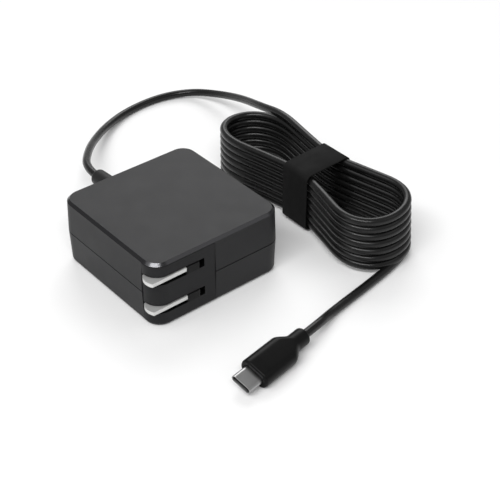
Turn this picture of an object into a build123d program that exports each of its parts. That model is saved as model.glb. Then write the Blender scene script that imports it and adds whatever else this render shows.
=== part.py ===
from build123d import *
from math import cos, pi, radians, sin, tan
import os

os.makedirs("parts", exist_ok=True)

# A USB-C wall charger: a square body standing flat on its base, two folding blades in a plug head
# at its front corner, and a captive cord wound into a strapped hank.  Millimetres, +Z up.
# The origin is the centre of the base, the blades fold along -X and swing out to -Y.

# ---------------------------------------------------------------- driving dimensions
BODY = 60.0  # square outline at the parting line
HEIGHT = 27.75
PART_Z = 13.85  # height of the parting line
CORNER_R = 6.8
DRAFT = 2.0  # degrees, on both shells
TOP_BEVEL = 1.05
BOTTOM_R = 1.75
WALL = 1.8
GROOVE_H = 0.2  # half the height of the parting groove
GROOVE_D = 0.5
GAP = 0.3  # between pieces on different bodies
SEAM = 0.15  # between mouldings that meet

HEAD_X = -2.25  # right-hand seam of the plug head
HEAD_Y = -22.5  # rear seam of the plug head
HEAD_HALF = 29.65  # its outer faces, from the centre lines of the body
HEAD_R = 6.3
HEAD_TOP = 26.5
COVER_T = 1.5

BLADE_PITCH = 12.7
BLADE_T = 1.5
BLADE_W = 6.6
BLADE_LENGTH = 15.85  # proud of the hub
BLADE_BULGE = 0.9  # rise of the rounded tip
HINGE_X = -12.3
HINGE_Y = -26.85
UPPER_BLADE_Z = 20.45  # underside of the upper blade
SLOT_DROP = 1.85  # slot floor below the blade's underside
HUB_HALF = 3.15
HUB_R = 1.1
CORE_R = 1.8
PIN_R = 0.8
SLOT_X = -7.2  # right-hand end of the slots
RUNNING = 0.05  # radial clearance of the rotor in its channel

CORD_D = 3.4
CORD_R = CORD_D / 2
GLAND_NECK_R = 3.0
GLAND_Y = 50.7  # free end of the strain relief
TURN_POINTS = 16  # route points in one turn of the hank
TURNS = 7
TURN_PITCH = 3.2  # the soft jacket gives a little where turns press together
HANK_X = 63.3
HANK_Y = -6.7
HANK_HALF = 48.9
HANK_TOP = 24.95  # height of the first turn's centre line at the waist
FLOOR_Z = CORD_R + 0.05  # centre line of the cord where it lies on the floor

BOARD_Z = 4.0  # underside of the main board

PLUG_ANGLE = 9.6  # degrees from +X
PLUG_ROLL = 18.0  # the plug rests on one edge, turned by the cord's twist
PLUG_MOUTH = (-27.02, -74.49)
PLUG_Z = 4.29


# ---------------------------------------------------------------- helpers
def block(x, y, z, mode=Mode.ADD):
    """A box between two values along each axis, added to the part in hand."""
    centre = ((x[0] + x[1]) / 2, (y[0] + y[1]) / 2, (z[0] + z[1]) / 2)
    with Locations(centre):
        Box(x[1] - x[0], y[1] - y[0], z[1] - z[0], mode=mode)


def post(x, y, radius, z, mode=Mode.ADD):
    """An upright cylinder between two heights."""
    with Locations((x, y, z[0])):
        Cylinder(radius, z[1] - z[0], align=(Align.CENTER, Align.CENTER, Align.MIN), mode=mode)


def save(piece, label):
    piece.part.label = label
    export_step(piece.part, f"parts/{label}.step")


# ---------------------------------------------------------------- body shells
def cut_plug_recess(z):
    block((-BODY, HEAD_X + SEAM / 2), (-BODY, HEAD_Y + SEAM / 2), z, Mode.SUBTRACT)


def cut_gland_hole():
    with Locations((0, BODY / 2, PART_Z)):
        Cylinder(GLAND_NECK_R, 4 * WALL, rotation=(90, 0, 0), mode=Mode.SUBTRACT)


with BuildPart() as top_shell:
    with BuildSketch(Plane.XY.offset(PART_Z)):
        RectangleRounded(BODY, BODY, CORNER_R)
    extrude(amount=HEIGHT - PART_Z, taper=DRAFT)
    chamfer(top_shell.faces().sort_by(Axis.Z)[-1].edges(), TOP_BEVEL)
    with BuildSketch(Plane.XY.offset(PART_Z)):
        RectangleRounded(BODY - 2 * WALL, BODY - 2 * WALL, CORNER_R - WALL)
    extrude(amount=HEIGHT - PART_Z - WALL, taper=DRAFT, mode=Mode.SUBTRACT)
    with BuildSketch(Plane.XY.offset(PART_Z)):
        RectangleRounded(BODY + 1, BODY + 1, CORNER_R)
        RectangleRounded(BODY - 2 * GROOVE_D, BODY - 2 * GROOVE_D, CORNER_R - GROOVE_D, mode=Mode.SUBTRACT)
    extrude(amount=GROOVE_H, mode=Mode.SUBTRACT)
    cut_plug_recess((PART_Z - 1, HEAD_TOP + SEAM))
    cut_gland_hole()

with BuildPart() as bottom_shell:
    with BuildSketch(Plane.XY.offset(PART_Z)):
        RectangleRounded(BODY, BODY, CORNER_R)
    extrude(amount=PART_Z, dir=(0, 0, -1), taper=DRAFT)
    fillet(bottom_shell.faces().sort_by(Axis.Z)[0].edges(), BOTTOM_R)
    with BuildSketch(Plane.XY.offset(PART_Z)):
        RectangleRounded(BODY - 2 * WALL, BODY - 2 * WALL, CORNER_R - WALL)
    extrude(amount=PART_Z - WALL, dir=(0, 0, -1), taper=DRAFT, mode=Mode.SUBTRACT)
    with BuildSketch(Plane.XY.offset(PART_Z)):
        RectangleRounded(BODY + 1, BODY + 1, CORNER_R)
        RectangleRounded(BODY - 2 * GROOVE_D, BODY - 2 * GROOVE_D, CORNER_R - GROOVE_D, mode=Mode.SUBTRACT)
    extrude(amount=-GROOVE_H, mode=Mode.SUBTRACT)
    # the tongue that locates the top shell
    with BuildSketch(Plane.XY.offset(PART_Z - 2)):
        RectangleRounded(BODY - 2 * WALL - 0.4, BODY - 2 * WALL - 0.4, CORNER_R - WALL)
        RectangleRounded(BODY - 2 * WALL - 2.0, BODY - 2 * WALL - 2.0, CORNER_R - WALL - 0.8, mode=Mode.SUBTRACT)
    extrude(amount=3.4)
    with BuildSketch(Plane.XY.offset(PART_Z - 2)):
        RectangleRounded(BODY - 2 * WALL, BODY - 2 * WALL, CORNER_R - WALL)
        RectangleRounded(BODY - 2 * WALL - 2.0, BODY - 2 * WALL - 2.0, CORNER_R - WALL - 0.8, mode=Mode.SUBTRACT)
    extrude(amount=1.2)
    cut_plug_recess((-1, HEIGHT))
    # the tongue stops each side of the strain relief's flange
    block((-5.2, 5.2), (26.0, 28.0), (PART_Z - 5.2, HEIGHT), Mode.SUBTRACT)
    cut_gland_hole()
    # four bosses that hold the board
    for x, y in ((-24.5, -17.5), (24.5, -17.5), (-24.5, 24.5), (24.5, 24.5)):
        post(x, y, 2.2, (WALL - 0.3, BOARD_Z))

save(top_shell, "top_shell")
save(bottom_shell, "bottom_shell")

# ---------------------------------------------------------------- plug head
CHANNEL_R = CORE_R + RUNNING
UPPER_SLOT = (UPPER_BLADE_Z - SLOT_DROP, UPPER_BLADE_Z + BLADE_T + GAP)
LOWER_SLOT = (UPPER_SLOT[0] - BLADE_PITCH, UPPER_SLOT[1] - BLADE_PITCH)
CORE_Z = (3.6, 24.4)
COVER_X = (-27.0, -3.2)
COVER_Z = (2.3, 25.4)
HEAD_X_RANGE = (-BODY, HEAD_X - SEAM / 2)
CONTACT_X = (-7.95, -7.55)
SPRING_POCKET_Z = (11.0, 17.0)
SPRING_HALF = 2.3  # half width of the detent spring
SPRING_Y = HINGE_Y + CORE_R + GAP  # its working face
SPRING_T = 0.3
SPRING_Z = (11.5, 16.5)

with BuildPart() as plug_carrier:
    with BuildSketch():
        RectangleRounded(2 * HEAD_HALF, 2 * HEAD_HALF, HEAD_R)
    extrude(amount=HEAD_TOP)
    fillet(plug_carrier.faces().sort_by(Axis.Z)[0].edges(), BOTTOM_R)
    block(HEAD_X_RANGE, (-BODY, HEAD_Y - SEAM / 2), (-1, HEIGHT), Mode.INTERSECT)
    for slot in (UPPER_SLOT, LOWER_SLOT):
        block((-BODY, SLOT_X), (-BODY, HEAD_Y + 1), slot, Mode.SUBTRACT)
    # the rotor's bearing channel, open to the rear so that the rotor drops in
    post(HINGE_X, HINGE_Y, CHANNEL_R, (CORE_Z[0] - GAP, CORE_Z[1] + GAP), Mode.SUBTRACT)
    channel_x = (HINGE_X - CHANNEL_R, HINGE_X + CHANNEL_R)
    block(channel_x, (HINGE_Y, HEAD_Y + 1), (CORE_Z[0] - GAP, CORE_Z[1] + GAP), Mode.SUBTRACT)
    pocket_x = (HINGE_X - SPRING_HALF - GAP, HINGE_X + SPRING_HALF + GAP)
    block(pocket_x, (SPRING_Y - GAP, HEAD_Y + 1), SPRING_POCKET_Z, Mode.SUBTRACT)

with BuildPart() as plug_cover:
    block(COVER_X, (HEAD_Y, HEAD_Y + COVER_T), COVER_Z)
    for slot in (UPPER_SLOT, LOWER_SLOT):
        block((CONTACT_X[0] - 0.1, CONTACT_X[1] + 0.1), (HEAD_Y - 1, HEAD_Y + 2), slot, Mode.SUBTRACT)

with BuildPart() as detent_spring:
    block((HINGE_X - SPRING_HALF, HINGE_X + SPRING_HALF), (SPRING_Y, SPRING_Y + SPRING_T), SPRING_Z)
    for x in (HINGE_X - SPRING_HALF, HINGE_X + SPRING_HALF - SPRING_T):
        block((x, x + SPRING_T), (SPRING_Y, HEAD_Y - SEAM), SPRING_Z)

save(plug_carrier, "plug_carrier")
save(plug_cover, "plug_cover")
save(detent_spring, "detent_spring")

# one contact strip behind each blade, joined to the board by its wire
CONTACT_Z = (UPPER_SLOT[0] + 0.9, UPPER_SLOT[1] - 0.7)
for label, drop in (("line_contact", 0), ("neutral_contact", BLADE_PITCH)):
    with BuildPart() as contact:
        height = (CONTACT_Z[0] - drop, CONTACT_Z[1] - drop)
        block(CONTACT_X, (-25.6, -18.6), height)
        block((CONTACT_X[0] - 2.0, CONTACT_X[1]), (-19.0, -18.6), height)
    save(contact, label)

# ---------------------------------------------------------------- blade rotor
OUTER_Y = HINGE_Y - BLADE_W / 2 + 0.05
INNER_Y = OUTER_Y + BLADE_W
ROOT_X = HINGE_X - HUB_HALF
TIP_X = ROOT_X - BLADE_LENGTH + BLADE_BULGE
ROOT_HALF = 2.45


def blade_bottom(level):
    return UPPER_BLADE_Z - level * BLADE_PITCH


blades = []
for level, label in enumerate(("blade_upper", "blade_lower")):
    with BuildPart() as blade:
        with BuildSketch(Plane.XY.offset(blade_bottom(level))):
            with BuildLine():
                Polyline((ROOT_X, OUTER_Y), (TIP_X, OUTER_Y))
                ThreePointArc(
                    (TIP_X, OUTER_Y), (TIP_X - BLADE_BULGE, HINGE_Y), (TIP_X + 0.4, INNER_Y)
                )
                Polyline((TIP_X + 0.4, INNER_Y), (ROOT_X, INNER_Y), (ROOT_X, OUTER_Y))
            make_face()
        extrude(amount=BLADE_T)
        root_z = (blade_bottom(level), blade_bottom(level) + BLADE_T)
        block((ROOT_X - 0.1, HINGE_X + ROOT_HALF), (HINGE_Y - ROOT_HALF, HINGE_Y + ROOT_HALF), root_z)
        post(HINGE_X, HINGE_Y, CORE_R - 0.3, (root_z[0] - 1, root_z[1] + 1), Mode.SUBTRACT)
    save(blade, label)
    blades.append(blade.part)

with BuildPart() as blade_rotor:
    post(HINGE_X, HINGE_Y, CORE_R, CORE_Z)
    for slot in (UPPER_SLOT, LOWER_SLOT):
        with BuildSketch(Plane.XY.offset(slot[0] + GAP)):
            with Locations((HINGE_X, HINGE_Y)):
                RectangleRounded(2 * HUB_HALF, 2 * HUB_HALF, HUB_R)
        extrude(amount=slot[1] - slot[0] - 2 * GAP)
    add(blades, mode=Mode.SUBTRACT)
    post(HINGE_X, HINGE_Y, PIN_R, CORE_Z, Mode.SUBTRACT)

with BuildPart() as rotor_pin:
    post(HINGE_X, HINGE_Y, PIN_R, CORE_Z)

save(blade_rotor, "blade_rotor")
save(rotor_pin, "rotor_pin")

# ---------------------------------------------------------------- strain relief
GLAND_BASE_R = 4.3
GLAND_TIP_R = 3.4
FLANGE_R = 4.6

with BuildPart() as strain_relief:
    # half section turned about the cord, from the flange inside the shells to the free end
    with BuildSketch(Plane.YZ):
        with BuildLine():
            Polyline(
                (BODY / 2 - WALL - 1.6, PART_Z + CORD_R),
                (BODY / 2 - WALL - 1.6, PART_Z + FLANGE_R),
                (BODY / 2 - WALL - 0.2, PART_Z + FLANGE_R),
                (BODY / 2 - WALL - 0.2, PART_Z + GLAND_NECK_R - 0.05),
                (BODY / 2 + 0.1, PART_Z + GLAND_NECK_R - 0.05),
                (BODY / 2 + 0.1, PART_Z + GLAND_BASE_R),
                (GLAND_Y - 1.4, PART_Z + GLAND_TIP_R),
            )
            ThreePointArc(
                (GLAND_Y - 1.4, PART_Z + GLAND_TIP_R),
                (GLAND_Y - 0.38, PART_Z + GLAND_TIP_R - 0.48),
                (GLAND_Y, PART_Z + GLAND_TIP_R - 1.45),
            )
            Polyline(
                (GLAND_Y, PART_Z + GLAND_TIP_R - 1.45),
                (GLAND_Y, PART_Z + CORD_R),
                (BODY / 2 - WALL - 1.6, PART_Z + CORD_R),
            )
        make_face()
    revolve(axis=Axis((0, 0, PART_Z), (0, 1, 0)))

save(strain_relief, "strain_relief")

# ---------------------------------------------------------------- board and what stands on it
BOARD_T = 1.6
DECK = BOARD_Z + BOARD_T  # top face of the board
LID_Z = HEIGHT - WALL  # underside of the top wall

with BuildPart() as insulating_sheet:
    block((-21.5, 21.5), (-19.0, 26.0), (WALL, WALL + 0.3))

with BuildPart() as heat_spreader:
    block((-24.0, 24.0), (-19.0, 24.0), (LID_Z - 0.6, LID_Z))

with BuildPart() as main_board:
    block((-26.0, 26.0), (-20.0, 26.5), (BOARD_Z, DECK))
    with Locations((-24.5, -17.5, DECK), (24.5, -17.5, DECK), (-24.5, 24.5, DECK), (24.5, 24.5, DECK)):
        Hole(0.9)

save(insulating_sheet, "insulating_sheet")
save(heat_spreader, "heat_spreader")
save(main_board, "main_board")

FUSE_R = 1.9
with BuildPart() as fuse:
    with Locations((-18.5, -16.5, DECK + FUSE_R)):
        Cylinder(FUSE_R, 9.0, rotation=(0, 90, 0))
    for x in (-23.4, -14.8):
        block((x, x + 1.2), (-16.5 - FUSE_R, -16.5 + FUSE_R), (DECK, DECK + 2 * FUSE_R))

with BuildPart() as thermistor:
    with Locations((-3.8, -15.5, DECK + 4.6)):
        Cylinder(3.6, 2.6, rotation=(90, 0, 0))
    for x in (-6.0, -1.6):
        post(x, -15.5, 0.35, (DECK, DECK + 4.0))

with BuildPart() as x_capacitor:
    block((-11.9, -6.3), (-7.0, 8.0), (DECK, DECK + 12.0))
    fillet(x_capacitor.edges().filter_by(Axis.Z), 0.6)

save(fuse, "fuse")
save(thermistor, "thermistor")
save(x_capacitor, "x_capacitor")

# common-mode choke: a flat ring core with a winding on each side, on a small base
CHOKE_X = -19.4
CHOKE_Y = -3.9
with BuildPart() as choke_core:
    post(CHOKE_X, CHOKE_Y, 6.0, (DECK + 2.4, DECK + 8.4))
    post(CHOKE_X, CHOKE_Y, 3.8, (DECK, DECK + 9.0), Mode.SUBTRACT)

with BuildPart() as choke_windings:
    post(CHOKE_X, CHOKE_Y, 6.6, (DECK + 1.8, DECK + 9.0))
    post(CHOKE_X, CHOKE_Y, 3.2, (DECK, DECK + 10.0), Mode.SUBTRACT)
    block((CHOKE_X - 7, CHOKE_X + 7), (CHOKE_Y - 1.6, CHOKE_Y + 1.6), (DECK, DECK + 10.0), Mode.SUBTRACT)
    add(choke_core.part, mode=Mode.SUBTRACT)

with BuildPart() as choke_base:
    block((CHOKE_X - 6.5, CHOKE_X + 6.5), (CHOKE_Y - 5.5, CHOKE_Y + 5.5), (DECK, DECK + 1.8))

save(choke_core, "choke_core")
save(choke_windings, "choke_windings")
save(choke_base, "choke_base")

BULK_PLACES = ((-20.6, 20.2), (-20.6, 9.4), (-9.4, 20.2))
for number, (x, y) in enumerate(BULK_PLACES, start=1):
    with BuildPart() as bulk_capacitor:
        post(x, y, 5.0, (DECK, DECK + 17.6))
        fillet(bulk_capacitor.faces().sort_by(Axis.Z)[-1].edges(), 0.8)
    save(bulk_capacitor, f"bulk_capacitor_{number}")

with BuildPart() as bridge_rectifier:
    block((2.0, 11.6), (-19.0, -12.4), (DECK, DECK + 2.5))

with BuildPart() as optocoupler:
    block((13.4, 18.0), (-18.6, -13.2), (DECK, DECK + 3.4))

save(bridge_rectifier, "bridge_rectifier")
save(optocoupler, "optocoupler")

# transformer: two E-core halves, a bobbin on pin rails and the taped winding
CORE_X = (-5.0, 19.0)
CORE_Y = (-3.5, 9.5)
CORE_HEIGHT = (DECK + 1.0, DECK + 16.4)
WINDOW_X = (-1.6, 15.6)
WINDOW_Z = (DECK + 4.4, DECK + 13.0)
LEG_X = (4.0, 10.0)
with BuildPart() as transformer_core:
    block(CORE_X, CORE_Y, CORE_HEIGHT)
    block(WINDOW_X, (CORE_Y[0] - 1, CORE_Y[1] + 1), WINDOW_Z, Mode.SUBTRACT)
    block(LEG_X, CORE_Y, WINDOW_Z)

with BuildPart() as transformer_bobbin:
    for z in (WINDOW_Z[0], WINDOW_Z[1] - 0.7):
        block((-1.4, 15.4), (-8.3, 14.3), (z, z + 0.7))
    block((3.2, 10.8), (-4.3, 10.3), WINDOW_Z)
    for y in (-10.6, 14.3):
        block((-1.4, 15.4), (y, y + 2.3), (DECK, WINDOW_Z[0] + 0.7))
    block(LEG_X, CORE_Y, WINDOW_Z, Mode.SUBTRACT)

with BuildPart() as transformer_winding:
    block((-1.2, 15.2), (-8.1, 14.1), (WINDOW_Z[0] + 0.7, WINDOW_Z[1] - 0.7))
    fillet(transformer_winding.edges().filter_by(Axis.Z), 3.0)
    block((3.2, 10.8), (-4.3, 10.3), WINDOW_Z, Mode.SUBTRACT)

save(transformer_core, "transformer_core")
save(transformer_bobbin, "transformer_bobbin")
save(transformer_winding, "transformer_winding")

with BuildPart() as heat_sink:
    block((-3.4, 14.0), (17.2, 18.4), (DECK, DECK + 16.4))

with BuildPart() as power_transistor:
    block((1.0, 10.8), (18.4, 22.6), (DECK + 4.0, DECK + 13.0))
    block((1.0, 10.8), (18.4, 19.6), (DECK + 13.0, DECK + 17.0))
    for x in (3.4, 5.9, 8.4):
        block((x - 0.35, x + 0.35), (20.4, 21.0), (DECK, DECK + 4.0))

with BuildPart() as y_capacitor:
    with Locations((20.6, 15.8, DECK + 4.8)):
        Cylinder(4.0, 2.8, rotation=(90, 0, 0))
    for x in (18.0, 23.2):
        post(x, 15.8, 0.35, (DECK, DECK + 3.0))

save(heat_sink, "heat_sink")
save(power_transistor, "power_transistor")
save(y_capacitor, "y_capacitor")

OUTPUT_PLACES = ((22.8, -14.6), (22.8, -7.4), (22.8, -0.2))
for number, (x, y) in enumerate(OUTPUT_PLACES, start=1):
    with BuildPart() as output_capacitor:
        post(x, y, 3.2, (DECK, DECK + 11.6))
        fillet(output_capacitor.faces().sort_by(Axis.Z)[-1].edges(), 0.5)
    save(output_capacitor, f"output_capacitor_{number}")

with BuildPart() as output_inductor:
    block((19.4, 25.8), (4.2, 11.2), (DECK, DECK + 5.8))
    fillet(output_inductor.edges().filter_by(Axis.Z), 1.2)

with BuildPart() as charging_board:
    block((13.0, 26.0), (20.4, 21.6), (DECK, DECK + 14.4))

with BuildPart() as charging_controller:
    block((17.0, 22.0), (21.6, 22.6), (DECK + 5.0, DECK + 10.0))

save(output_inductor, "output_inductor")
save(charging_board, "charging_board")
save(charging_controller, "charging_controller")

# ---------------------------------------------------------------- wires inside
WIRE_R = 0.6


def wire(points, bend, radius=WIRE_R):
    """A round wire along straight runs joined by bends of one radius."""
    with BuildPart() as piece:
        with BuildLine() as path:
            FilletPolyline(*points, radius=bend)
        with BuildSketch(Plane(origin=path.line @ 0, z_dir=path.line % 0)):
            Circle(radius)
        sweep(path=path.line)
    return piece


WIRE_Y = -18.6 + WIRE_R
for label, drop, wire_x in (("line_wire", 0, -12.6), ("neutral_wire", BLADE_PITCH, -11.2)):
    level = (CONTACT_Z[0] + CONTACT_Z[1]) / 2 - drop
    run = [(CONTACT_X[0] - 1.5, WIRE_Y, level), (wire_x, WIRE_Y, level), (wire_x, WIRE_Y, DECK)]
    save(wire(run, 0.9), label)

CORD_INNER_END = 25.0
with BuildPart() as cord_inner:
    with BuildSketch(Plane.XZ.offset(-CORD_INNER_END)):
        with Locations((0, PART_Z)):
            Circle(CORD_R)
    extrude(amount=-(GLAND_Y - CORD_INNER_END))
save(cord_inner, "cord_inner")

for label, x in (("supply_wire", -1.0), ("signal_wire", 0.0), ("return_wire", 1.0)):
    run = [(x, CORD_INNER_END, PART_Z), (x, CORD_INNER_END - 1.3, PART_Z), (x, CORD_INNER_END - 1.3, DECK)]
    save(wire(run, 0.8, 0.45), label)

# ---------------------------------------------------------------- cord
# Points of the free stretches.  Between them the cord makes TURNS turns of the hank.
LEAD = [
    (0.0, GLAND_Y, PART_Z),
    (0.0, 59.3, PART_Z),
    (10.0, 72.8, 10.9),
    (20.6, 84.4, 6.9),
    (34.6, 96.0, 3.2),
    (51.2, 103.4, FLOOR_Z),
    (69.9, 104.3, FLOOR_Z),
    (83.9, 97.9, 2.4),
    (88.1, 82.1, 6.5),
    (85.5, 62.3, 13.7),
    (79.7, 42.0, 20.8),
]
TAIL = [
    (73.6, -53.5, FLOOR_Z + 0.05),
    (62.3, -57.4, FLOOR_Z),
    (46.2, -60.2, FLOOR_Z),
    (33.2, -62.2, FLOOR_Z),
    (23.1, -64.1, FLOOR_Z + 0.35),
    (14.29, -67.51, PLUG_Z),
    (6.11, -68.89, PLUG_Z),
]
FIRST_STEP = -2  # the lead lies on the hank before its first turn


def hank_point(step):
    """One route point of the hank: a flat loop pinched at the waist, sinking a pitch each turn."""
    turn = step / TURN_POINTS
    along = sin(2 * pi * turn)
    across = cos(2 * pi * turn)
    bulge = 7.3 + 34.7 * along**2 + 1.6 * along - 14.1 * along**4
    fan = 0.35 * turn * along * (1 + along) / 2  # the lower turns spread at the front end
    x = HANK_X + 0.25 * along**2 - 0.5 * along + across * bulge
    y = HANK_Y - HANK_HALF * along - 4.7 * across**2 - fan
    return (x, y, HANK_TOP - TURN_PITCH * (turn + 0.5 * along**4))


def bend_radii(points):
    """An arc at each inner point, as large as the shorter of its two runs allows."""
    radii = []
    for before, here, after in zip(points, points[1:], points[2:]):
        run_in = Vector(here) - Vector(before)
        run_out = Vector(after) - Vector(here)
        turn = radians(run_in.get_angle(run_out))
        radii.append(0.45 * min(run_in.length, run_out.length) / tan(turn / 2))
    return radii


def cord_piece(points, label):
    radii = bend_radii(points)
    with BuildPart() as piece:
        with BuildLine() as path:
            FilletPolyline(*points, radius=radii)
        with BuildSketch(Plane(origin=path.line @ 0, z_dir=path.line % 0)):
            Circle(CORD_R)
        sweep(path=path.line)
    ideal = pi * CORD_R**2 * path.wire().length
    print(f"{label}: length {path.wire().length:.1f}, volume {piece.part.volume:.1f} of {ideal:.1f}")
    print(f"  bend radii {[round(radius, 1) for radius in radii]}")
    save(piece, label)


cord_piece(LEAD + [hank_point(FIRST_STEP)], "cord_lead")
cord_piece([TAIL[-1], *TAIL[-2:0:-1]], "cord_tail")

# the hank as a closed band, one cord thick, round its two loops
CROWN_R = 0.7  # half width of the top turn's crown
MIDDLE_STEP = TURNS // 2 * TURN_POINTS  # the band follows the middle turn
STRAP_T = 0.7
STRAP_X = (51.4, 74.9)
STRAP_Y = (-18.8, -4.8)
STRAP_TOP = HANK_TOP + CORD_R + 0.1 + STRAP_T


def hank_side(outward):
    """Points on one face of the band, beside the middle of each step of the middle turn."""
    side = []
    for step in range(MIDDLE_STEP, MIDDLE_STEP + TURN_POINTS):
        here = Vector(*hank_point(step)[:2])
        there = Vector(*hank_point(step + 1)[:2])
        along = (there - here).normalized()
        side.append((here + there) * 0.5 + Vector(-along.Y, along.X) * outward)
    return side


with BuildPart() as cord_hank:
    for half, z in ((CORD_R, (0, HANK_TOP)), (CROWN_R, (HANK_TOP, HANK_TOP + CORD_R))):
        for outward, mode in ((half, Mode.ADD), (-half, Mode.SUBTRACT)):
            with BuildSketch(Plane.XY.offset(z[0])):
                with BuildLine():
                    Spline(*hank_side(outward), periodic=True)
                make_face()
            extrude(amount=z[1] - z[0], mode=mode)
    # room under the waist for the strap
    block((40, 90), (STRAP_Y[0] - SEAM, STRAP_Y[1] + SEAM), (-1, CORD_R), Mode.SUBTRACT)

with BuildPart() as cord_strap:
    centre = ((STRAP_X[0] + STRAP_X[1]) / 2, STRAP_TOP / 2)
    width = STRAP_X[1] - STRAP_X[0]
    with BuildSketch(Plane.XZ.offset(-STRAP_Y[1])):
        with Locations(centre):
            RectangleRounded(width, STRAP_TOP, 2.2)
            RectangleRounded(width - 2 * STRAP_T, STRAP_TOP - 2 * STRAP_T, 1.5, mode=Mode.SUBTRACT)
    extrude(amount=STRAP_Y[1] - STRAP_Y[0])

save(cord_hank, "cord_hank")
save(cord_strap, "cord_strap")

# ---------------------------------------------------------------- USB-C plug
SHELL_W = 8.34
SHELL_H = 2.56
SHELL_T = 0.3
SHELL_PROUD = 6.65
SHELL_LENGTH = 12.0
GRIP_W = 12.1
GRIP_H = 6.8
GRIP_R = 3.2
GRIP_END = 23.3
NECK_R = 3.38
NECK_START = 27.0
NECK_END = 33.6
MOUTH_W = 6.8
MOUTH_H = 0.9
MOUTH_DEPTH = 6.2
CONTACTS_PER_ROW = 12
CONTACT_PITCH = 0.5
CONTACT_W = 0.26
PLUG_AXIS = (cos(radians(PLUG_ANGLE)), sin(radians(PLUG_ANGLE)), 0)
PLUG_ACROSS = (
    -PLUG_AXIS[1] * cos(radians(PLUG_ROLL)),
    PLUG_AXIS[0] * cos(radians(PLUG_ROLL)),
    sin(radians(PLUG_ROLL)),
)
PLUG_LINE = Axis((*PLUG_MOUTH, PLUG_Z), PLUG_AXIS)


def across_plug(distance):
    """The plane across the plug at a distance back from its mouth."""
    origin = Vector(*PLUG_MOUTH, PLUG_Z) + Vector(*PLUG_AXIS) * distance
    return Plane(origin=origin, x_dir=PLUG_ACROSS, z_dir=PLUG_AXIS)


with BuildPart() as usb_shell:
    with BuildSketch(across_plug(0)):
        SlotOverall(SHELL_W, SHELL_H)
        SlotOverall(SHELL_W - 2 * SHELL_T, SHELL_H - 2 * SHELL_T, mode=Mode.SUBTRACT)
    extrude(amount=SHELL_LENGTH)

with BuildPart() as usb_contacts:
    for side in (-1, 1):
        with BuildSketch(across_plug(1.0)):
            with Locations((0, side * (MOUTH_H / 2 + 0.1))):
                with GridLocations(CONTACT_PITCH, 1, CONTACTS_PER_ROW, 1):
                    Rectangle(CONTACT_W, 0.2)
        extrude(amount=SHELL_LENGTH - 1.0)

with BuildPart() as usb_insert:
    with BuildSketch(across_plug(0.4)):
        SlotOverall(SHELL_W - 2 * SHELL_T, SHELL_H - 2 * SHELL_T)
    extrude(amount=SHELL_LENGTH - 0.4)
    with BuildSketch(across_plug(0)):
        Rectangle(MOUTH_W, MOUTH_H)
    extrude(amount=MOUTH_DEPTH, mode=Mode.SUBTRACT)
    add(usb_contacts.part, mode=Mode.SUBTRACT)

with BuildPart() as usb_board:
    with BuildSketch(across_plug(SHELL_LENGTH)):
        Rectangle(8.4, 0.8)
    extrude(amount=9.0)

with BuildPart() as usb_grip:
    with BuildSketch(across_plug(SHELL_PROUD)):
        RectangleRounded(GRIP_W, GRIP_H, GRIP_R)
    extrude(amount=GRIP_END - SHELL_PROUD)
    front = usb_grip.faces().sort_by(PLUG_LINE)[0]
    fillet(front.edges(), 0.7)
    with BuildSketch(across_plug(GRIP_END)):
        RectangleRounded(GRIP_W, GRIP_H, GRIP_R)
    with BuildSketch(across_plug(NECK_START)):
        Circle(NECK_R)
    loft()
    with BuildSketch(across_plug(NECK_START)):
        Circle(NECK_R)
    extrude(amount=NECK_END - NECK_START)
    rear = usb_grip.faces().sort_by(PLUG_LINE)[-1]
    fillet(rear.edges(), 0.8)
    with BuildSketch(across_plug(SHELL_PROUD - 1)):
        SlotOverall(SHELL_W, SHELL_H)
    extrude(amount=SHELL_LENGTH - SHELL_PROUD + 1, mode=Mode.SUBTRACT)
    add(usb_board.part, mode=Mode.SUBTRACT)

save(usb_shell, "usb_shell")
save(usb_contacts, "usb_contacts")
save(usb_insert, "usb_insert")
save(usb_board, "usb_board")
save(usb_grip, "usb_grip")
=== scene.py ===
from math import cos, pi, radians, sin

import bmesh
import bpy
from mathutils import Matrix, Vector


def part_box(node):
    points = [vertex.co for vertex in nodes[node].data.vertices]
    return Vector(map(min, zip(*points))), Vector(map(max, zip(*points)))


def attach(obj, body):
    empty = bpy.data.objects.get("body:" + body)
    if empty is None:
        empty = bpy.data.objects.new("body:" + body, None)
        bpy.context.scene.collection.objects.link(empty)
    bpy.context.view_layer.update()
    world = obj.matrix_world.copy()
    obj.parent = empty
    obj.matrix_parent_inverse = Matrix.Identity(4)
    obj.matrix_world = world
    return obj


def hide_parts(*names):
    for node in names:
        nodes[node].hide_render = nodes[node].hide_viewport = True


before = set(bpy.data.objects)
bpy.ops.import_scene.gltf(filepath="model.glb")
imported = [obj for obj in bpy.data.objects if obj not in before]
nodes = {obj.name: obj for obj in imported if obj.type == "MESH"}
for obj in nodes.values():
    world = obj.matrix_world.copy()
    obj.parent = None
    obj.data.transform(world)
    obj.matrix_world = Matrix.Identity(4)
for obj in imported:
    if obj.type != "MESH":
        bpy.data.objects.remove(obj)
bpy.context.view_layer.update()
MM = 0.001


# ---------------------------------------------------------------- camera
CAMERA_PLACE = (-0.219991, -0.312704, 0.287875)
CAMERA_TARGET = (0.027413, -0.013528, 0.000153)
CAMERA_LENS = 88.9


def aimed(obj, place, target):
    obj.location = place
    obj.rotation_euler = (Vector(target) - Vector(place)).to_track_quat("-Z", "Y").to_euler()


camera_data = bpy.data.cameras.new("camera")
camera_data.lens = CAMERA_LENS
camera_data.sensor_width = 36.0
camera_data.clip_start = 0.01
camera = bpy.data.objects.new("camera", camera_data)
bpy.context.scene.collection.objects.link(camera)
aimed(camera, CAMERA_PLACE, CAMERA_TARGET)
bpy.context.scene.camera = camera


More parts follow.
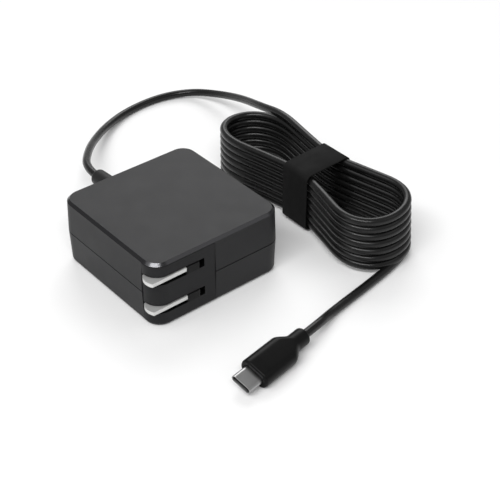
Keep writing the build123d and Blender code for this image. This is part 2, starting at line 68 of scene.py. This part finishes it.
# ---------------------------------------------------------------- cord
CORD_D = 3.4
TURN_POINTS = 16
TURNS = 7
TURN_PITCH = 3.2
HANK_X = 63.3
HANK_Y = -6.7
HANK_HALF = 48.9
HANK_TOP = 24.95
FLOOR_Z = 1.75
GLAND_Y = 50.7
LEAD = [
    (0.0, GLAND_Y, 13.85),
    (0.0, 59.3, 13.85),
    (10.0, 72.8, 10.9),
    (20.6, 84.4, 6.9),
    (34.6, 96.0, 3.2),
    (51.2, 103.4, FLOOR_Z),
    (69.9, 104.3, FLOOR_Z),
    (83.9, 97.9, 2.4),
    (88.1, 82.1, 6.5),
    (85.5, 62.3, 13.7),
    (79.7, 42.0, 20.8),
]
TAIL = [
    (73.6, -53.5, FLOOR_Z + 0.05),
    (62.3, -57.4, FLOOR_Z),
    (46.2, -60.2, FLOOR_Z),
    (33.2, -62.2, FLOOR_Z),
    (23.1, -64.1, FLOOR_Z + 0.35),
    (14.29, -67.51, 4.29),
    (6.11, -68.89, 4.29),
]


def hank_point(step):
    """One route point of the hank: a flat loop pinched at the waist, sinking a pitch each turn."""
    turn = step / TURN_POINTS
    along = sin(2 * pi * turn)
    across = cos(2 * pi * turn)
    bulge = 7.3 + 34.7 * along**2 + 1.6 * along - 14.1 * along**4
    fan = 0.35 * turn * along * (1 + along) / 2  # the lower turns spread at the front end
    x = HANK_X + 0.25 * along**2 - 0.5 * along + across * bulge
    y = HANK_Y - HANK_HALF * along - 4.7 * across**2 - fan
    return (x, y, HANK_TOP - TURN_PITCH * (turn + 0.5 * along**4))


route = LEAD + [hank_point(step) for step in range(-2, TURNS * TURN_POINTS + 3)] + TAIL
cord_curve = bpy.data.curves.new("cord", "CURVE")
cord_curve.dimensions = "3D"
cord_curve.bevel_depth = CORD_D / 2 * MM
cord_curve.bevel_resolution = 5
cord_curve.resolution_u = 8
cord_curve.use_fill_caps = True
spline = cord_curve.splines.new("NURBS")
spline.points.add(len(route) - 1)
for point, (x, y, z) in zip(spline.points, route):
    point.co = (x * MM, y * MM, z * MM, 1)
spline.order_u = 3
spline.use_endpoint_u = True
cord = bpy.data.objects.new("cord", cord_curve)
bpy.context.scene.collection.objects.link(cord)


# ---------------------------------------------------------------- materials
class Nodes:
    """A material with a Principled shader, and short calls for the nodes that feed it."""

    def __init__(self, name):
        self.material = bpy.data.materials.new(name)
        self.material.use_nodes = True
        self.tree = self.material.node_tree
        self.shader = self.tree.nodes["Principled BSDF"]
        self.place = self.tree.nodes.new("ShaderNodeTexCoord").outputs["Object"]

    def set(self, **values):
        for name, value in values.items():
            self.shader.inputs[name.replace("_", " ")].default_value = value
        return self

    def link(self, output, target):
        socket = self.shader.inputs[target] if isinstance(target, str) else target
        self.tree.links.new(output, socket)

    def stretched(self, scale):
        mapping = self.tree.nodes.new("ShaderNodeMapping")
        mapping.inputs["Scale"].default_value = scale
        self.link(self.place, mapping.inputs["Vector"])
        return mapping.outputs["Vector"]

    def noise(self, scale, detail=2.0, vector=None):
        node = self.tree.nodes.new("ShaderNodeTexNoise")
        node.inputs["Scale"].default_value = scale
        node.inputs["Detail"].default_value = detail
        self.link(vector or self.place, node.inputs["Vector"])
        return node.outputs["Fac"]

    def ramp(self, fac, low, high, start=0.3, end=0.7):
        node = self.tree.nodes.new("ShaderNodeValToRGB")
        node.color_ramp.elements[0].position = start
        node.color_ramp.elements[1].position = end
        node.color_ramp.elements[0].color = (*low, 1)
        node.color_ramp.elements[1].color = (*high, 1)
        self.link(fac, node.inputs["Fac"])
        return node.outputs["Color"]

    def span(self, fac, low, high, start=0.3, end=0.7):
        node = self.tree.nodes.new("ShaderNodeMapRange")
        for name, value in (("From Min", start), ("From Max", end), ("To Min", low), ("To Max", high)):
            node.inputs[name].default_value = value
        self.link(fac, node.inputs["Value"])
        return node.outputs["Result"]

    def math(self, kind, a, b):
        node = self.tree.nodes.new("ShaderNodeMath")
        node.operation = kind
        for socket, value in zip(node.inputs, (a, b)):
            if isinstance(value, (int, float)):
                socket.default_value = value
            else:
                self.link(value, socket)
        return node.outputs["Value"]

    def bump(self, height, depth):
        node = self.tree.nodes.new("ShaderNodeBump")
        node.inputs["Strength"].default_value = 1.0
        node.inputs["Distance"].default_value = depth
        self.link(height, node.inputs["Height"])
        return node.outputs["Normal"]

    def axes(self):
        """The object's own coordinates, one output an axis."""
        separate = self.tree.nodes.new("ShaderNodeSeparateXYZ")
        self.link(self.place, separate.inputs["Vector"])
        return separate.outputs

    def within(self, value, limits):
        """1 where a value lies between two limits."""
        above = self.math("GREATER_THAN", value, limits[0])
        below = self.math("LESS_THAN", value, limits[1])
        return self.math("MULTIPLY", above, below)


def scaled(colour, factor):
    return tuple(min(1.0, c * factor) for c in colour)


def plastic(
    name, colour, rough, grain=2600.0, depth=0.00002, specular=0.5, uneven=0.12, gloss_spread=0.06
):
    """Moulded plastic: a fine spark-eroded grain, and slow changes of tone and gloss across the part."""
    n = Nodes(name)
    n.set(Specular_IOR_Level=specular)
    n.link(n.ramp(n.noise(90.0, 3.0), scaled(colour, 1 - uneven), scaled(colour, 1 + uneven)), "Base Color")
    patches = n.noise(160.0, 4.0)
    n.link(n.span(patches, rough - gloss_spread, rough + gloss_spread), "Roughness")
    n.link(n.bump(n.noise(grain, 2.0), depth), "Normal")
    return n.material


def metal(name, colour, rough, grain=(1, 1, 1), lines=1500.0, depth=0.000002, spread=0.08, metallic=1.0):
    """Plated or rolled metal: fine lines one way, with small changes of gloss."""
    n = Nodes(name)
    n.set(Metallic=metallic)
    along = n.stretched(grain)
    streaks = n.noise(lines, 3.0, along)
    n.link(n.ramp(n.noise(200.0, 3.0), scaled(colour, 0.94), scaled(colour, 1.05)), "Base Color")
    n.link(n.span(streaks, rough - spread, rough + spread), "Roughness")
    n.link(n.bump(streaks, depth), "Normal")
    return n.material


def painted(name, slots_material):
    """Puts a material on every slot of a CAD node."""
    data = nodes[name].data
    if not data.materials:
        data.materials.append(slots_material)
    for i in range(len(data.materials)):
        data.materials[i] = slots_material


BEVEL_BAND = (0.02672, 0.02772)  # heights of the bevel round the top of the body
# these slot heights and the blind end below also bound the painted shade in the plug head's base colour
UPPER_SLOT = (0.01859, 0.02226)  # heights of the blade slots
LOWER_SLOT = (0.00589, 0.00956)
SLOT_END = -0.00715  # x of the slots' blind end


def polished_bevel(name, colour, specular):
    """Body plastic with a fine grain, smoother and more reflective on the bevel round the top."""
    n = Nodes(name)
    n.set(Specular_IOR_Level=specular)
    band = n.within(n.axes()["Z"], BEVEL_BAND)
    tone = n.math("ADD", n.span(n.noise(60.0, 3.0), 0.32, 0.34), n.math("MULTIPLY", band, 0.66))
    n.link(n.ramp(tone, (0.0, 0.0, 0.0), scaled(colour, 3.0), 0.0, 1.0), "Base Color")
    n.link(band, "Metallic")
    patches = n.span(n.noise(160.0, 4.0), 0.43, 0.47)
    n.link(n.math("SUBTRACT", patches, n.math("MULTIPLY", band, 0.24)), "Roughness")
    n.link(n.bump(n.noise(2600.0, 2.0), 0.000005), "Normal")
    return n.material


def slot_shaded_plastic(name, colour, specular):
    """Plug head plastic, with painted shade: the base colour is darkened inside each blade slot."""
    n = Nodes(name)
    n.set(Specular_IOR_Level=specular)
    place = n.axes()
    # painted shade: inside each blade slot, up to its blind end, the base colour is cut by 0.8
    slot_shade = n.math("ADD", n.within(place["Z"], UPPER_SLOT), n.within(place["Z"], LOWER_SLOT))
    slot_shade = n.math("MULTIPLY", slot_shade, n.math("LESS_THAN", place["X"], SLOT_END))
    tone = n.math("SUBTRACT", n.span(n.noise(60.0, 3.0), 0.97, 1.0), n.math("MULTIPLY", slot_shade, 0.8))
    n.link(n.ramp(tone, (0.0, 0.0, 0.0), colour, 0.0, 1.0), "Base Color")
    n.link(n.span(n.noise(160.0, 4.0), 0.43, 0.47), "Roughness")
    n.link(n.bump(n.noise(2600.0, 2.0), 0.000012), "Normal")
    return n.material


shell_mat = polished_bevel("shell_plastic", (0.020, 0.020, 0.021), 0.17)
head_mat = slot_shaded_plastic("head_plastic", (0.016, 0.016, 0.017), 0.14)
relief_mat = plastic("relief_rubber", (0.014, 0.014, 0.014), 0.45, grain=1800.0, specular=0.2)
grip_mat = plastic("grip_rubber", (0.004, 0.004, 0.004), 0.36, grain=3000.0, specular=0.12, uneven=0.05)
cord_mat = plastic(
    "cord_jacket", (0.006, 0.006, 0.006), 0.27,
    grain=900.0, depth=0.000003, specular=0.3, uneven=0.05, gloss_spread=0.03,
)
strap_mat = plastic("strap_band", (0.008, 0.008, 0.008), 0.75, grain=2400.0, depth=0.00006, specular=0.12)

LOOKS = {
    "shell_plastic": (shell_mat, "top_shell bottom_shell"),
    "head_plastic": (head_mat, "plug_carrier plug_cover"),
    "relief_rubber": (relief_mat, "strain_relief"),
    "cord_jacket": (cord_mat, "cord_inner"),
    "spring_steel": (metal("spring_steel", (0.6, 0.6, 0.6), 0.3), "detent_spring rotor_pin"),
    "contact_brass": (metal("contact_brass", (0.75, 0.58, 0.3), 0.3), "line_contact neutral_contact"),
    "blade_metal": (
        metal("blade_metal", (0.70, 0.70, 0.69), 0.42, (1, 8, 8), metallic=0.6),
        "blade_upper blade_lower",
    ),
    "rotor_plastic": (plastic("rotor_plastic", (0.006, 0.006, 0.006), 0.45, specular=0.15), "blade_rotor"),
    "insulator": (plastic("insulator", (0.75, 0.72, 0.6), 0.5), "insulating_sheet"),
    "sink_aluminium": (metal("sink_aluminium", (0.8, 0.8, 0.8), 0.4, (1, 6, 6)), "heat_spreader heat_sink"),
    "circuit_board": (
        plastic("circuit_board", (0.02, 0.12, 0.05), 0.4, grain=900.0),
        "main_board charging_board usb_board",
    ),
    "fuse_body": (plastic("fuse_body", (0.6, 0.6, 0.55), 0.3), "fuse"),
    "ceramic_green": (plastic("ceramic_green", (0.05, 0.2, 0.1), 0.4), "thermistor"),
    "film_box": (plastic("film_box", (0.6, 0.5, 0.1), 0.4), "x_capacitor"),
    "ferrite": (
        plastic("ferrite", (0.03, 0.03, 0.032), 0.6, grain=1200.0, depth=0.00005),
        "choke_core transformer_core output_inductor",
    ),
    "copper_winding": (metal("copper_winding", (0.8, 0.38, 0.2), 0.3), "choke_windings"),
    "bobbin_plastic": (plastic("bobbin_plastic", (0.02, 0.02, 0.02), 0.4), "choke_base transformer_bobbin"),
    "capacitor_sleeve": (
        plastic("capacitor_sleeve", (0.01, 0.015, 0.05), 0.3),
        "bulk_capacitor_1 bulk_capacitor_2 bulk_capacitor_3",
    ),
    "chip_black": (
        plastic("chip_black", (0.02, 0.02, 0.02), 0.5),
        "bridge_rectifier optocoupler power_transistor charging_controller",
    ),
    "winding_tape": (plastic("winding_tape", (0.7, 0.55, 0.05), 0.3), "transformer_winding"),
    "ceramic_blue": (plastic("ceramic_blue", (0.02, 0.1, 0.4), 0.3), "y_capacitor"),
    "capacitor_can": (
        metal("capacitor_can", (0.7, 0.7, 0.72), 0.3),
        "output_capacitor_1 output_capacitor_2 output_capacitor_3",
    ),
    "wire_black": (plastic("wire_black", (0.015, 0.015, 0.015), 0.35), "line_wire return_wire"),
    "wire_white": (plastic("wire_white", (0.7, 0.7, 0.68), 0.35), "neutral_wire signal_wire"),
    "wire_red": (plastic("wire_red", (0.5, 0.02, 0.015), 0.35), "supply_wire"),
    "connector_steel": (
        metal("connector_steel", (0.36, 0.36, 0.36), 0.3, lines=400.0, depth=0.0000003, spread=0.03),
        "usb_shell",
    ),
    "contact_gold": (metal("contact_gold", (0.85, 0.62, 0.25), 0.25), "usb_contacts"),
    "connector_plastic": (plastic("connector_plastic", (0.01, 0.01, 0.01), 0.5), "usb_insert"),
}
for material, names in LOOKS.values():
    for name in names.split():
        painted(name, material)


# ---------------------------------------------------------------- USB-C grip
PLUG_MOUTH = Vector((-27.02, -74.49, 4.29)) * MM
PLUG_ANGLE = radians(9.6)
PLUG_ROLL = radians(18.0)
PLUG_AXIS = Vector((cos(PLUG_ANGLE), sin(PLUG_ANGLE), 0.0))
PLUG_ACROSS = Vector((-sin(PLUG_ANGLE) * cos(PLUG_ROLL), cos(PLUG_ANGLE) * cos(PLUG_ROLL), sin(PLUG_ROLL)))
PLUG_UP = PLUG_AXIS.cross(PLUG_ACROSS)
RING = 64  # points round one section of the grip
SHELL_HALF = (4.17, 1.28)
SHELL_PROUD = 6.65  # from the mouth to the face of the grip
SOCKET_END = 12.0
SOCKET_CHAMFER = 0.1
GRIP_HALF = (6.05, 3.4)
GRIP_CORNER = 3.2
GRIP_NOSE = 0.75  # rounding of the grip's front edge
GRIP_FLAT_END = 14.5
SHOULDER_START = 22.2
SHOULDER_LENGTH = 5.9
NECK_R = 3.38
NECK_FLAT_END = 31.0
NECK_END = 33.6
NECK_ROUND = 0.9  # rounding of the neck's end
NECK_BORE_R = 1.6
ROUND_TO = 0.001  # a corner stops this short of a full half-side


def grip_ring(distance, half_width, half_height, corner):
    """A rounded rectangle across the plug, in millimetres from its mouth."""
    ring = []
    for i in range(RING):
        quarter = 4 * i // RING
        angle = pi / 2 * (quarter + (i - quarter * RING // 4) / (RING // 4 - 1))
        sx = 1 if quarter in (0, 3) else -1
        sy = 1 if quarter < 2 else -1
        u = sx * (half_width - corner) + corner * cos(angle)
        v = sy * (half_height - corner) + corner * sin(angle)
        ring.append(PLUG_MOUTH + (PLUG_AXIS * distance + PLUG_ACROSS * u + PLUG_UP * v) * MM)
    return ring


def grip_profile():
    """Sections from the socket round the shell, over the grip and its shoulder, to the end of the neck."""
    (width, height), corner, neck = GRIP_HALF, GRIP_CORNER, NECK_R
    half_width, half_height = SHELL_HALF
    profile = [
        (SOCKET_END, half_width, half_height, half_height - ROUND_TO),
        (SHELL_PROUD + SOCKET_CHAMFER, half_width, half_height, half_height - ROUND_TO),
    ]
    half_width, half_height = half_width + SOCKET_CHAMFER, half_height + SOCKET_CHAMFER
    profile.append((SHELL_PROUD, half_width, half_height, half_height - ROUND_TO))
    for step in range(7):
        turn = pi / 2 * step / 6
        inset = GRIP_NOSE * (1 - sin(turn))
        distance = SHELL_PROUD + GRIP_NOSE * (1 - cos(turn))
        profile.append((distance, width - inset, height - inset, corner - inset))
    profile.append((GRIP_FLAT_END, width, height, corner))
    for step in range(15):
        share = step / 14
        ease = share * share * (3 - 2 * share)
        profile.append((
            SHOULDER_START + SHOULDER_LENGTH * share,
            width + (neck - width) * ease,
            height + (neck - height) * ease,
            corner + (neck - ROUND_TO - corner) * ease,
        ))
    profile.append((NECK_FLAT_END, neck, neck, neck - ROUND_TO))
    for step in range(7):
        turn = pi / 2 * step / 6
        radius = neck - NECK_ROUND * (1 - cos(turn))
        distance = NECK_END - NECK_ROUND * (1 - sin(turn))
        profile.append((distance, radius, radius, radius - ROUND_TO))
    profile.append((NECK_END, NECK_BORE_R, NECK_BORE_R, NECK_BORE_R - ROUND_TO))
    return profile


def grip_mesh():
    mesh = bmesh.new()
    rings = [[mesh.verts.new(point) for point in grip_ring(*section)] for section in grip_profile()]
    for ring, other in zip(rings, rings[1:]):
        for i in range(RING):
            k = (i + 1) % RING
            mesh.faces.new((ring[i], ring[k], other[k], other[i]))
    mesh.faces.new(rings[0])
    mesh.faces.new(rings[-1])
    bmesh.ops.recalc_face_normals(mesh, faces=mesh.faces)
    data = bpy.data.meshes.new("grip")
    mesh.to_mesh(data)
    mesh.free()
    for face in data.polygons:
        face.use_smooth = len(face.vertices) == 4
    obj = bpy.data.objects.new("grip", data)
    bpy.context.scene.collection.objects.link(obj)
    return obj


grip = grip_mesh()
grip.data.materials.append(grip_mat)
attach(grip, "charger")
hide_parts("usb_grip")

# ---------------------------------------------------------------- the cord's looks and ends
cord_curve.materials.append(cord_mat)
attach(cord, "charger")
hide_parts("cord_lead", "cord_hank", "cord_tail")


# ---------------------------------------------------------------- strap
STRAP_LOW = (0.001, 0.0)  # underside at the strap's left and right ends
STRAP_HIGH = (0.0265, 0.0274)
STRAP_TRIM = 0.0003  # the right side stands this far inside the CAD box
STRAP_THICK = 0.0007
STRAP_CORNER = 0.0026
STRAP_EDGE = 0.00022


def strap_section(outer):
    """Points round the strap's section, from the middle of its underside, at the outer or inner face."""
    low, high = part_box("cord_strap")
    high = (high.x - STRAP_TRIM, high.z)
    inset = 0.0 if outer else STRAP_THICK
    radius = STRAP_CORNER - inset
    x0, x1, z0, z1 = low.x + inset, high[0] - inset, low.z + inset, high[1] - inset
    points = []
    corners = ((x1, z0, -90), (x1, z1, 0), (x0, z1, 90), (x0, z0, 180))
    for x, z, start in corners:
        cx = x - radius if x == x1 else x + radius
        cz = z - radius if z == z1 else z + radius
        for step in range(9):
            angle = radians(start + 90 * step / 8)
            px, pz = cx + radius * cos(angle), cz + radius * sin(angle)
            side = (px - low.x) / (high[0] - low.x)
            under = STRAP_LOW[0] + (STRAP_LOW[1] - STRAP_LOW[0]) * side
            over = STRAP_HIGH[0] + (STRAP_HIGH[1] - STRAP_HIGH[0]) * side
            points.append((px, under + (over - under) * (pz - low.z) / (high[1] - low.z)))
    return points


def strap_mesh():
    low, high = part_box("cord_strap")
    outer, inner = strap_section(True), strap_section(False)
    y0, y1 = low.y, high.y
    count = len(outer)
    rings = []
    # outer face, rounded edge, inner face, rounded edge
    profile = [
        (0.0, y0 + STRAP_EDGE), (0.0, (2 * y0 + y1) / 3), (0.0, (y0 + 2 * y1) / 3), (0.0, y1 - STRAP_EDGE),
        (0.3, y1), (0.7, y1), (1.0, y1 - STRAP_EDGE), (1.0, y0 + STRAP_EDGE), (0.7, y0), (0.3, y0),
    ]
    mesh = bmesh.new()
    for share, y in profile:
        rings.append([
            mesh.verts.new((a[0] + (b[0] - a[0]) * share, y, a[1] + (b[1] - a[1]) * share))
            for a, b in zip(outer, inner)
        ])
    for i, ring in enumerate(rings):
        other = rings[(i + 1) % len(rings)]
        for j in range(count):
            k = (j + 1) % count
            mesh.faces.new((ring[j], ring[k], other[k], other[j]))
    bmesh.ops.recalc_face_normals(mesh, faces=mesh.faces)
    data = bpy.data.meshes.new("strap")
    mesh.to_mesh(data)
    mesh.free()
    for face in data.polygons:
        face.use_smooth = True
    obj = bpy.data.objects.new("strap", data)
    bpy.context.scene.collection.objects.link(obj)
    return obj


strap = strap_mesh()
strap.data.materials.append(strap_mat)
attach(strap, "charger")
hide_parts("cord_strap")


# ---------------------------------------------------------------- floor, light
WORLD_STRENGTH = 0.41


def floor():
    data = bpy.data.meshes.new("floor")
    size = 4.0
    corners = [(-size, -size, 0), (size, -size, 0), (size, size, 0), (-size, size, 0)]
    data.from_pydata(corners, [], [(0, 1, 2, 3)])
    obj = bpy.data.objects.new("floor", data)
    bpy.context.scene.collection.objects.link(obj)
    n = Nodes("floor")
    n.set(Roughness=0.9, Specular_IOR_Level=0.0)
    n.link(n.ramp(n.noise(30.0), (0.92, 0.92, 0.92), (0.93, 0.93, 0.93)), "Base Color")
    data.materials.append(n.material)


def softbox(name, place, target, width, height, power):
    data = bpy.data.lights.new(name, "AREA")
    data.shape = "RECTANGLE"
    data.size = width
    data.size_y = height
    data.energy = power
    obj = bpy.data.objects.new(name, data)
    bpy.context.scene.collection.objects.link(obj)
    aimed(obj, place, target)


floor()
softbox("key", (-0.9, 0.15, 1.35), (0.02, 0.0, 0.0), 1.1, 1.1, 5.0)
softbox("back", (1.0, 1.2, 1.25), (0.02, 0.0, 0.0), 1.2, 1.2, 14.0)
softbox("strip", (-0.687, -0.532, 1.215), (-0.02, -0.02, 0.0), 1.3, 0.14, 12.5)
softbox("edge", (0.9, -1.05, 1.1), (0.0, 0.0, 0.0), 0.6, 0.6, 0.7)

world = bpy.data.worlds.new("world")
world.use_nodes = True
world.node_tree.nodes["Background"].inputs["Color"].default_value = (1, 1, 1, 1)
world.node_tree.nodes["Background"].inputs["Strength"].default_value = WORLD_STRENGTH
bpy.context.scene.world = world
bpy.context.scene.view_settings.view_transform = "Standard"
